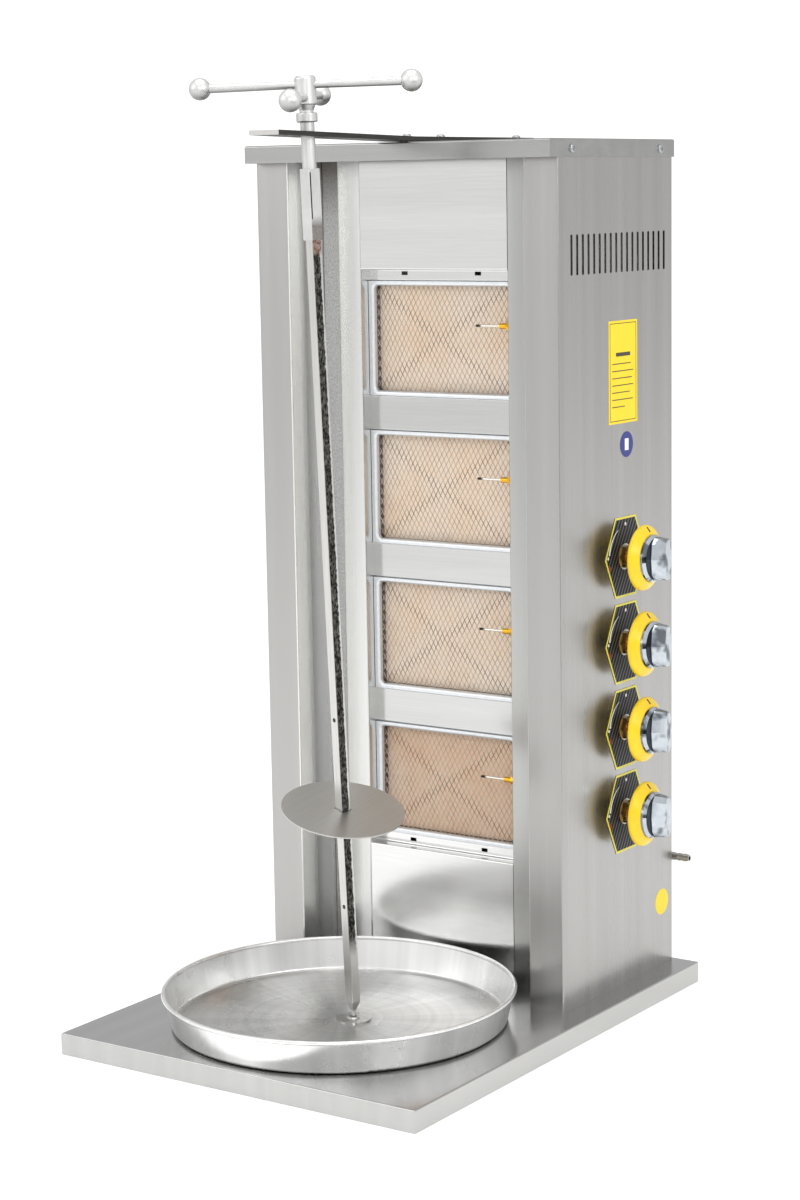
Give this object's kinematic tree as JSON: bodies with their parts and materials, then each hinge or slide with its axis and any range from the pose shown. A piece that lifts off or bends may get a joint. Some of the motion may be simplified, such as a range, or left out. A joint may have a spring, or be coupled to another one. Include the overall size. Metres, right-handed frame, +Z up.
{
  "type": "vertical rotisserie broiler",
  "caption": "Gas vertical rotisserie broiler: stainless tower with stacked ceramic burners, side control knobs, drip pan and a hand-turned leaning skewer under a top arm.",
  "frame": {"origin": "centre of the base footprint at the underside, where the stiffener rests on the counter", "axes": "+X to the right seen by the operator, +Y away from the operator towards the wall, +Z up"},
  "size_m": [0.523, 0.66, 1.127],
  "materials": {
    "arm_steel": "bare flat bar",
    "brass": "machined",
    "brushed_stainless": "brushed vertical grain, satin",
    "burner_body": "grey casting",
    "burner_frame": "light satin aluminised",
    "cast_handle": "matte silver casting",
    "ceramic": "matte perforated ceramic",
    "chrome": "bright plated",
    "chrome_fittings": "plated",
    "dial_print": "printed foil",
    "disc_steel": "satin sheet",
    "galvanised_strip": "rough galvanised",
    "guard_mesh": "heat-browned strands",
    "label_print": "printed foil",
    "probe": "polished with brass ferrule",
    "rail_steel": "zinc plated",
    "skewer_steel": "drawn bar",
    "spun_aluminium": "spun, fine circular lines",
    "washer_steel": "turned",
    "yellow_plastic": "semi-gloss",
    "zinc_fasteners": "zinc plated"
  },
  "bodies": {
    "frame": {"arm_bolts": "zinc_fasteners", "arm_spacers": "zinc_fasteners", "base_stiffener": "brushed_stainless", "base_tray": "brushed_stainless", "burner_body_1": "burner_body", "burner_body_2": "burner_body", "burner_body_3": "burner_body", "burner_body_4": "burner_body", "burner_frame_1": "burner_frame", "burner_frame_2": "burner_frame", "burner_frame_3": "burner_frame", "burner_frame_4": "burner_frame", "cap_screws": "zinc_fasteners", "ceramic_tiles_1": "ceramic", "ceramic_tiles_2": "ceramic", "ceramic_tiles_3": "ceramic", "ceramic_tiles_4": "ceramic", "dial_plates": "dial_print", "drip_pan": "spun_aluminium", "filler_strips": "brushed_stainless", "flame_probes": "probe", "gas_rail": "rail_steel", "gas_tubes": "brass", "hose_tail": "chrome_fittings", "left_column": "brushed_stainless", "left_recess_strip": "galvanised_strip", "left_side_panel": "brushed_stainless", "lower_front_panel": "brushed_stainless", "mesh_guard_1": "guard_mesh", "mesh_guard_2": "guard_mesh", "mesh_guard_3": "guard_mesh", "mesh_guard_4": "guard_mesh", "pivot_washer": "washer_steel", "rear_panel": "brushed_stainless", "right_column": "brushed_stainless", "right_recess_strip": "galvanised_strip", "right_side_panel": "brushed_stainless", "side_labels": "label_print", "top_arm": "arm_steel", "top_cap": "brushed_stainless", "upper_front_panel": "brushed_stainless", "valve_bodies": "brass", "valve_nuts": "brass"},
    "spindle_4": {"valve_spindle_4": "brass"},
    "knob_4": {"knob_skirt_4": "yellow_plastic", "knob_cap_4": "chrome"},
    "spindle_3": {"valve_spindle_3": "brass"},
    "knob_3": {"knob_skirt_3": "yellow_plastic", "knob_cap_3": "chrome"},
    "spindle_2": {"valve_spindle_2": "brass"},
    "knob_2": {"knob_skirt_2": "yellow_plastic", "knob_cap_2": "chrome"},
    "spindle_1": {"valve_spindle_1": "brass"},
    "knob_1": {"knob_skirt_1": "yellow_plastic", "knob_cap_1": "chrome"},
    "spit": {"skewer": "skewer_steel"},
    "handle": {"handle_hub": "cast_handle", "handle_bars": "cast_handle"},
    "disc": {"meat_disc": "disc_steel"},
    "pin": {"disc_pin": "skewer_steel"}
  },
  "joints": [
    {"name": "knob_turn_4", "type": "hinge", "parent": "frame", "child": "spindle_4", "pos_m": [0.214, 0.2, 0.241], "axis": [1, 0, 0], "range_deg": [0, 110]},
    {"name": "knob_push_4", "type": "slide", "parent": "spindle_4", "child": "knob_4", "axis": [-1, 0, 0], "range_m": [0, 0.004], "stiffness_N_per_m": 1200, "springref_m": -0.002},
    {"name": "knob_turn_3", "type": "hinge", "parent": "frame", "child": "spindle_3", "pos_m": [0.214, 0.2, 0.34571], "axis": [1, 0, 0], "range_deg": [0, 110]},
    {"name": "knob_push_3", "type": "slide", "parent": "spindle_3", "child": "knob_3", "axis": [-1, 0, 0], "range_m": [0, 0.004], "stiffness_N_per_m": 1200, "springref_m": -0.002},
    {"name": "knob_turn_2", "type": "hinge", "parent": "frame", "child": "spindle_2", "pos_m": [0.214, 0.2, 0.45042], "axis": [1, 0, 0], "range_deg": [0, 110]},
    {"name": "knob_push_2", "type": "slide", "parent": "spindle_2", "child": "knob_2", "axis": [-1, 0, 0], "range_m": [0, 0.004], "stiffness_N_per_m": 1200, "springref_m": -0.002},
    {"name": "knob_turn_1", "type": "hinge", "parent": "frame", "child": "spindle_1", "pos_m": [0.214, 0.2, 0.55513], "axis": [1, 0, 0], "range_deg": [0, 110]},
    {"name": "knob_push_1", "type": "slide", "parent": "spindle_1", "child": "knob_1", "axis": [-1, 0, 0], "range_m": [0, 0.004], "stiffness_N_per_m": 1200, "springref_m": -0.002},
    {"name": "spit_turn", "type": "hinge", "parent": "frame", "child": "spit", "pos_m": [0.016, -0.102, 0.031], "axis": [-0.0131, -0.035, 0.9993], "continuous": true},
    {"name": "handle_lift", "type": "slide", "parent": "spit", "child": "handle", "axis": [-0.0131, -0.035, 0.9993], "range_m": [0, 0.03]},
    {"name": "disc_slide", "type": "slide", "parent": "spit", "child": "disc", "axis": [-0.0131, -0.035, 0.9993], "range_m": [0, 0.6]},
    {"name": "pin_pull", "type": "slide", "parent": "spit", "child": "pin", "axis": [0.2249, 0.9737, 0.0371], "range_m": [0, 0.03]}
  ]
}
